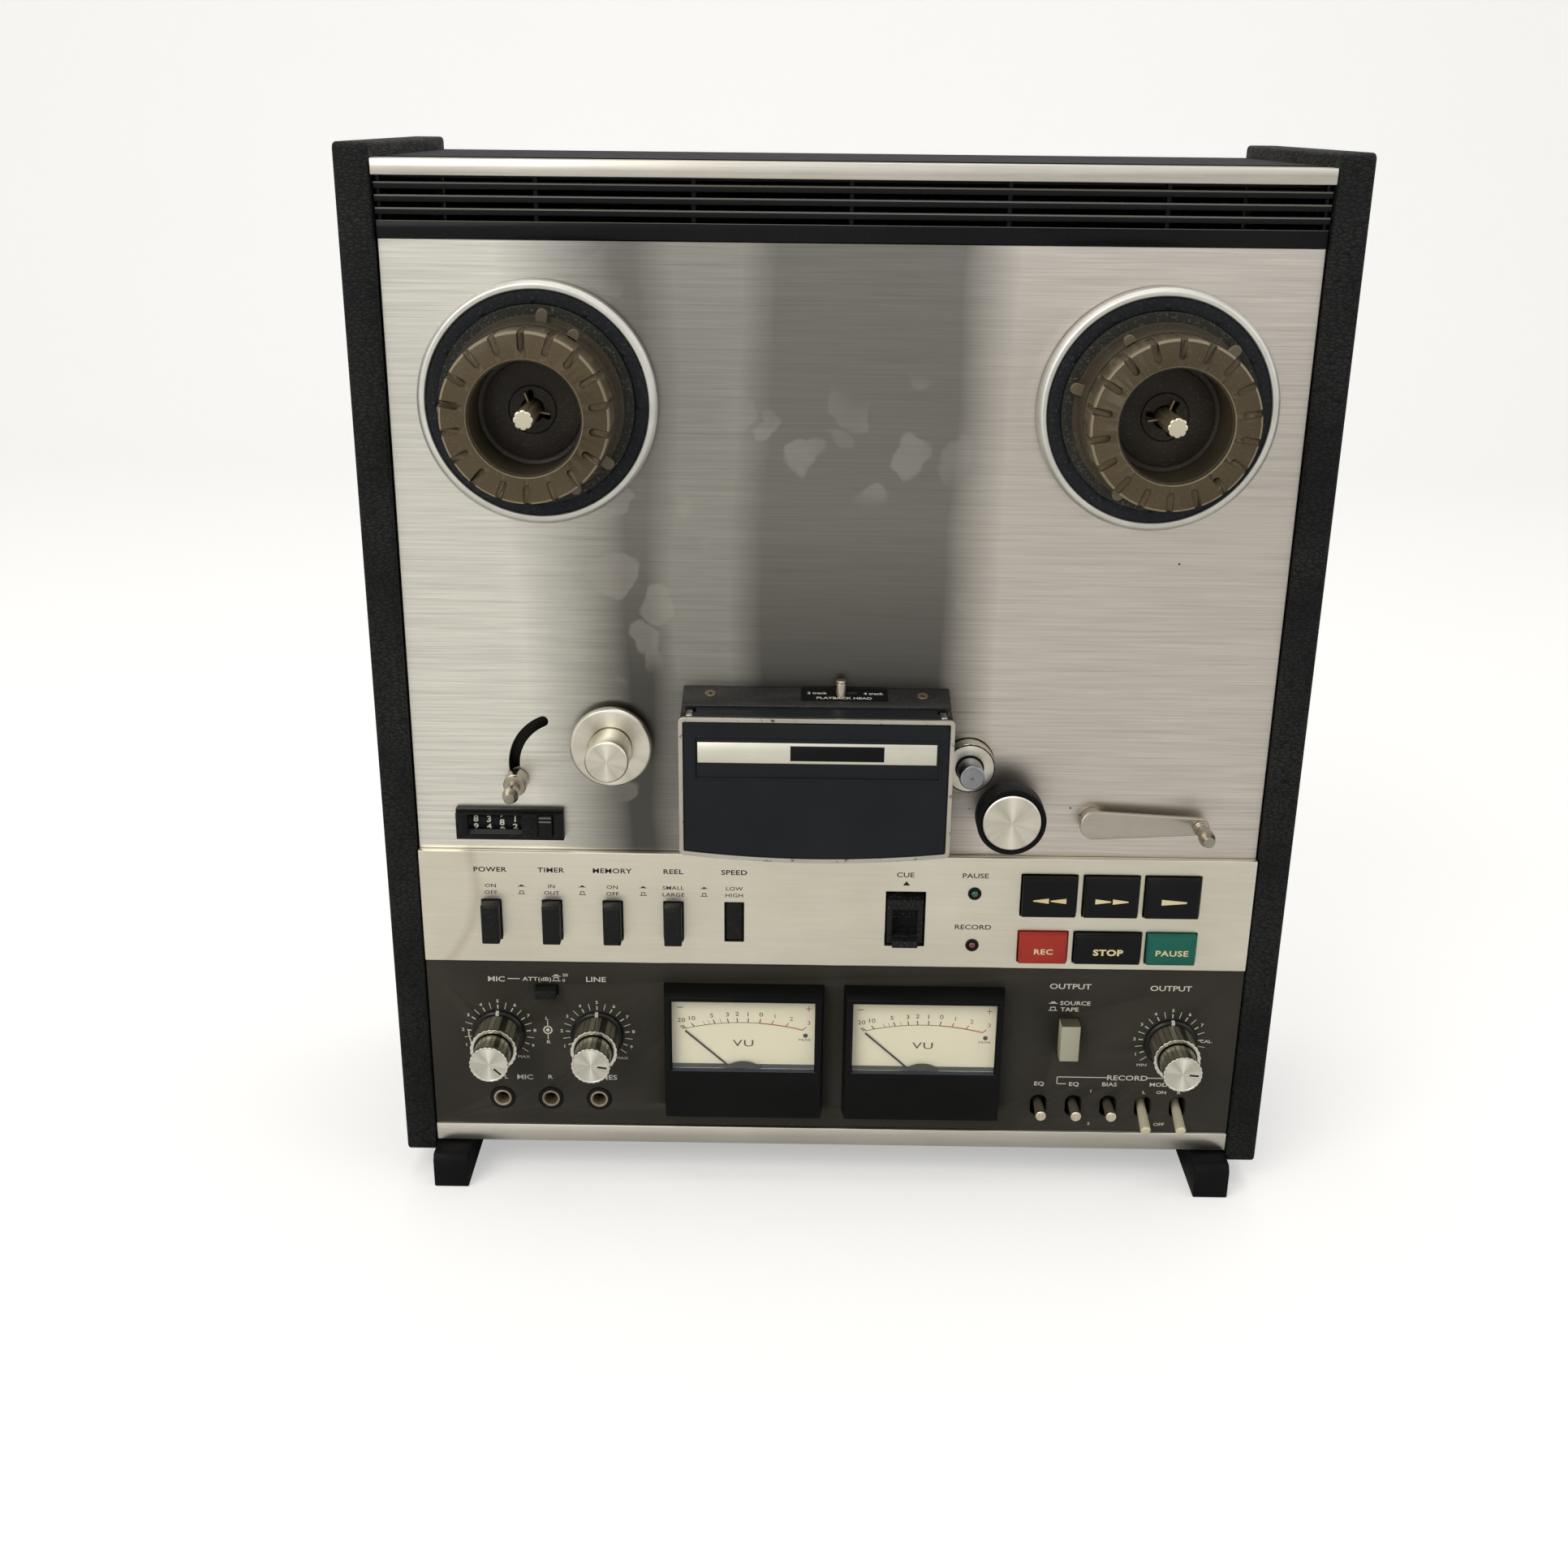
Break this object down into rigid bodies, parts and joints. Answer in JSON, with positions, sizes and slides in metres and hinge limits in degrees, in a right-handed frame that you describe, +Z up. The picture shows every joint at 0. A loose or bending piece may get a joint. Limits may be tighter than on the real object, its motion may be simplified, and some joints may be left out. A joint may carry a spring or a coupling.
{
  "type": "reel-to-reel tape deck",
  "caption": "Upright open-reel tape deck with reel hubs, tape path, head cover, level meters and controls on stacked front plates between two side boards.",
  "frame": {"origin": "middle of the whole deck in X and Y, on the surface the feet stand on", "axes": "+Z up, the front plates face -Y, +X to the right seen from the front"},
  "size_m": [0.445, 0.2186, 0.513],
  "materials": {
    "vinyl_board": "wood core in black grained vinyl",
    "dark_cover": "black textured paint on steel",
    "plated_steel": "zinc plated steel",
    "satin_aluminium": "satin anodised champagne aluminium",
    "brushed_aluminium": "horizontally brushed aluminium with age marks",
    "bright_metal": "turned bright metal",
    "gloss_black": "gloss black moulding",
    "matt_black": "satin black moulding",
    "panel_brown": "dark brown-grey paint on aluminium",
    "hub_plastic": "olive brown moulding",
    "black_rubber": "black rubber",
    "key_red": "red moulding",
    "key_green": "green moulding",
    "button_grey": "warm grey moulding"
  },
  "bodies": {
    "deck_body": {"left_side_board": "vinyl_board", "right_side_board": "vinyl_board", "left_foot": "matt_black", "right_foot": "matt_black", "rear_cover": "dark_cover", "chassis": "plated_steel", "top_trim_bar": "satin_aluminium", "vent_grille": "gloss_black", "bottom_trim_bar": "satin_aluminium", "deck_plate": "brushed_aluminium", "control_plate": "satin_aluminium", "lower_panel": "panel_brown", "head_housing": "matt_black", "head_block": "bright_metal", "counter_housing": "matt_black", "jack_bracket": "matt_black", "left_meter_case": "matt_black", "right_meter_case": "matt_black"},
    "left_reel": {"left_reel_table": "bright_metal", "left_hub_adapter": "hub_plastic"},
    "left_lock_ring": {"left_hub_lock_ring": "hub_plastic"},
    "right_reel": {"right_reel_table": "bright_metal", "right_hub_adapter": "hub_plastic"},
    "right_lock_ring": {"right_hub_lock_ring": "hub_plastic"},
    "left_tension_arm": {"left_tension_arm": "bright_metal"},
    "impedance_roller": {"impedance_roller": "satin_aluminium"},
    "head_door": {"head_door": "matt_black"},
    "head_select_lever": {"head_select_lever": "bright_metal"},
    "capstan": {"capstan": "bright_metal"},
    "pinch_roller_arm": {"pinch_roller_arm": "plated_steel"},
    "pinch_roller": {"pinch_roller": "black_rubber"},
    "right_tension_arm": {"right_tension_arm": "bright_metal"},
    "counter_reset_button": {"counter_reset_button": "matt_black"},
    "power_switch": {"power_switch": "matt_black"},
    "timer_switch": {"timer_switch": "matt_black"},
    "memory_switch": {"memory_switch": "matt_black"},
    "reel_size_switch": {"reel_size_switch": "matt_black"},
    "speed_switch": {"speed_switch": "matt_black"},
    "cue_lever": {"cue_lever": "matt_black"},
    "rewind_key": {"rewind_key": "matt_black"},
    "fast_forward_key": {"fast_forward_key": "matt_black"},
    "play_key": {"play_key": "matt_black"},
    "record_key": {"record_key": "key_red"},
    "stop_key": {"stop_key": "matt_black"},
    "pause_key": {"pause_key": "key_green"},
    "mic_outer_knob": {"mic_outer_knob": "bright_metal"},
    "mic_inner_knob": {"mic_inner_knob": "bright_metal"},
    "line_outer_knob": {"line_outer_knob": "bright_metal"},
    "line_inner_knob": {"line_inner_knob": "bright_metal"},
    "output_outer_knob": {"output_outer_knob": "bright_metal"},
    "output_inner_knob": {"output_inner_knob": "bright_metal"},
    "attenuator_button": {"attenuator_button": "matt_black"},
    "output_button": {"output_button": "button_grey"},
    "equaliser_lever": {"equaliser_lever": "bright_metal"},
    "record_equaliser_lever": {"record_equaliser_lever": "bright_metal"},
    "bias_lever": {"bias_lever": "bright_metal"},
    "left_record_lever": {"left_record_lever": "bright_metal"},
    "right_record_lever": {"right_record_lever": "bright_metal"},
    "left_meter_needle": {"left_meter_needle": "matt_black"},
    "right_meter_needle": {"right_meter_needle": "matt_black"}
  },
  "joints": [
    {"name": "left_reel_spin", "type": "hinge", "parent": "deck_body", "child": "left_reel", "pos_m": [-0.1383, -0.06275, 0.4037], "axis": [0, -1, 0], "continuous": true},
    {"name": "left_lock_ring_turn", "type": "hinge", "parent": "left_reel", "child": "left_lock_ring", "pos_m": [-0.1383, -0.09275, 0.4037], "axis": [0, -1, 0], "range_deg": [0, 40]},
    {"name": "right_reel_spin", "type": "hinge", "parent": "deck_body", "child": "right_reel", "pos_m": [0.1383, -0.06275, 0.4037], "axis": [0, -1, 0], "continuous": true},
    {"name": "right_lock_ring_turn", "type": "hinge", "parent": "right_reel", "child": "right_lock_ring", "pos_m": [0.1383, -0.09275, 0.4037], "axis": [0, -1, 0], "range_deg": [0, 40]},
    {"name": "left_tension_arm_swing", "type": "hinge", "parent": "deck_body", "child": "left_tension_arm", "pos_m": [-0.1336, -0.06275, 0.2301], "axis": [0, 1, 0], "range_deg": [0, 86], "stiffness_Nm_per_rad": 0.01, "springref_deg": -34.38},
    {"name": "impedance_roller_spin", "type": "hinge", "parent": "deck_body", "child": "impedance_roller", "pos_m": [-0.1095, -0.06275, 0.242], "axis": [0, -1, 0], "continuous": true},
    {"name": "head_door_swing", "type": "hinge", "parent": "deck_body", "child": "head_door", "pos_m": [-0.0116, -0.07875, 0.2636], "axis": [-1, 0, 0], "range_deg": [0, 95]},
    {"name": "head_select_slide", "type": "slide", "parent": "deck_body", "child": "head_select_lever", "axis": [1, 0, 0], "range_m": [0, 0.005]},
    {"name": "capstan_spin", "type": "hinge", "parent": "deck_body", "child": "capstan", "pos_m": [0.0622, -0.06275, 0.2342], "axis": [0, -1, 0], "continuous": true},
    {"name": "pinch_arm_swing", "type": "hinge", "parent": "deck_body", "child": "pinch_roller_arm", "pos_m": [0.11583, -0.06275, 0.2416], "axis": [0, 1, 0], "range_deg": [0, 9.12], "stiffness_Nm_per_rad": 0.3, "springref_deg": -11.46},
    {"name": "pinch_roller_spin", "type": "hinge", "parent": "pinch_roller_arm", "child": "pinch_roller", "pos_m": [0.0822, -0.07475, 0.2117], "axis": [0, -1, 0], "continuous": true},
    {"name": "right_tension_arm_swing", "type": "hinge", "parent": "deck_body", "child": "right_tension_arm", "pos_m": [0.1242, -0.06275, 0.205], "axis": [0, -1, 0], "range_deg": [0, 35], "stiffness_Nm_per_rad": 0.01, "springref_deg": -34.38},
    {"name": "counter_reset_press", "type": "slide", "parent": "deck_body", "child": "counter_reset_button", "axis": [0, 1, 0], "range_m": [0, 0.0018], "stiffness_N_per_m": 200, "springref_m": -0.002},
    {"name": "power_switch_press", "type": "slide", "parent": "deck_body", "child": "power_switch", "axis": [0, 1, 0], "range_m": [0, 0.009]},
    {"name": "timer_switch_press", "type": "slide", "parent": "deck_body", "child": "timer_switch", "axis": [0, 1, 0], "range_m": [0, 0.009]},
    {"name": "memory_switch_press", "type": "slide", "parent": "deck_body", "child": "memory_switch", "axis": [0, 1, 0], "range_m": [0, 0.009]},
    {"name": "reel_size_switch_press", "type": "slide", "parent": "deck_body", "child": "reel_size_switch", "axis": [0, 1, 0], "range_m": [0, 0.009]},
    {"name": "speed_switch_press", "type": "slide", "parent": "deck_body", "child": "speed_switch", "axis": [0, 1, 0], "range_m": [-0.009, 0]},
    {"name": "cue_lever_lift", "type": "hinge", "parent": "deck_body", "child": "cue_lever", "pos_m": [0.0345, -0.04675, 0.1519], "axis": [-1, 0, 0], "range_deg": [0, 25], "stiffness_Nm_per_rad": 0.03, "springref_deg": -17.19},
    {"name": "rewind_key_press", "type": "slide", "parent": "deck_body", "child": "rewind_key", "axis": [0, 1, 0], "range_m": [0, 0.0025], "stiffness_N_per_m": 300, "springref_m": -0.002},
    {"name": "fast_forward_key_press", "type": "slide", "parent": "deck_body", "child": "fast_forward_key", "axis": [0, 1, 0], "range_m": [0, 0.0025], "stiffness_N_per_m": 300, "springref_m": -0.002},
    {"name": "play_key_press", "type": "slide", "parent": "deck_body", "child": "play_key", "axis": [0, 1, 0], "range_m": [0, 0.0025], "stiffness_N_per_m": 300, "springref_m": -0.002},
    {"name": "record_key_press", "type": "slide", "parent": "deck_body", "child": "record_key", "axis": [0, 1, 0], "range_m": [0, 0.0025], "stiffness_N_per_m": 300, "springref_m": -0.002},
    {"name": "stop_key_press", "type": "slide", "parent": "deck_body", "child": "stop_key", "axis": [0, 1, 0], "range_m": [0, 0.0025], "stiffness_N_per_m": 300, "springref_m": -0.002},
    {"name": "pause_key_press", "type": "slide", "parent": "deck_body", "child": "pause_key", "axis": [0, 1, 0], "range_m": [0, 0.0025], "stiffness_N_per_m": 300, "springref_m": -0.002},
    {"name": "mic_outer_knob_turn", "type": "hinge", "parent": "deck_body", "child": "mic_outer_knob", "pos_m": [-0.1713, -0.07275, 0.0836], "axis": [0, -1, 0], "range_deg": [-140, 140]},
    {"name": "mic_inner_knob_turn", "type": "hinge", "parent": "deck_body", "child": "mic_inner_knob", "pos_m": [-0.1713, -0.08775, 0.0836], "axis": [0, -1, 0], "range_deg": [-5, 275]},
    {"name": "line_outer_knob_turn", "type": "hinge", "parent": "deck_body", "child": "line_outer_knob", "pos_m": [-0.1207, -0.07275, 0.0836], "axis": [0, -1, 0], "range_deg": [-140, 140]},
    {"name": "line_inner_knob_turn", "type": "hinge", "parent": "deck_body", "child": "line_inner_knob", "pos_m": [-0.1207, -0.08775, 0.0836], "axis": [0, -1, 0], "range_deg": [-50, 230]},
    {"name": "output_outer_knob_turn", "type": "hinge", "parent": "deck_body", "child": "output_outer_knob", "pos_m": [0.1726, -0.07275, 0.0836], "axis": [0, -1, 0], "range_deg": [-140, 140]},
    {"name": "output_inner_knob_turn", "type": "hinge", "parent": "deck_body", "child": "output_inner_knob", "pos_m": [0.1726, -0.08775, 0.0836], "axis": [0, -1, 0], "range_deg": [-50, 230]},
    {"name": "attenuator_press", "type": "slide", "parent": "deck_body", "child": "attenuator_button", "axis": [0, 1, 0], "range_m": [0, 0.003]},
    {"name": "output_press", "type": "slide", "parent": "deck_body", "child": "output_button", "axis": [0, 1, 0], "range_m": [0, 0.004]},
    {"name": "equaliser_lever_tilt", "type": "hinge", "parent": "deck_body", "child": "equaliser_lever", "pos_m": [0.1074, -0.04975, 0.0456], "axis": [-1, 0, 0], "range_deg": [-14, 14]},
    {"name": "record_equaliser_lever_tilt", "type": "hinge", "parent": "deck_body", "child": "record_equaliser_lever", "pos_m": [0.12545, -0.04975, 0.0456], "axis": [-1, 0, 0], "range_deg": [-14, 14]},
    {"name": "bias_lever_tilt", "type": "hinge", "parent": "deck_body", "child": "bias_lever", "pos_m": [0.1435, -0.04975, 0.0456], "axis": [-1, 0, 0], "range_deg": [-14, 14]},
    {"name": "left_record_lever_tilt", "type": "hinge", "parent": "deck_body", "child": "left_record_lever", "pos_m": [0.16155, -0.04975, 0.0456], "axis": [-1, 0, 0], "range_deg": [0, 32]},
    {"name": "right_record_lever_tilt", "type": "hinge", "parent": "deck_body", "child": "right_record_lever", "pos_m": [0.1796, -0.04975, 0.0456], "axis": [-1, 0, 0], "range_deg": [0, 32]},
    {"name": "left_meter_needle_swing", "type": "hinge", "parent": "deck_body", "child": "left_meter_needle", "pos_m": [-0.0457, -0.06775, 0.0634], "axis": [0, 1, 0], "range_deg": [0, 95], "stiffness_Nm_per_rad": 0.00006, "springref_deg": -28.65},
    {"name": "right_meter_needle_swing", "type": "hinge", "parent": "deck_body", "child": "right_meter_needle", "pos_m": [0.0457, -0.06775, 0.0634], "axis": [0, 1, 0], "range_deg": [0, 95], "stiffness_Nm_per_rad": 0.00006, "springref_deg": -28.65}
  ]
}
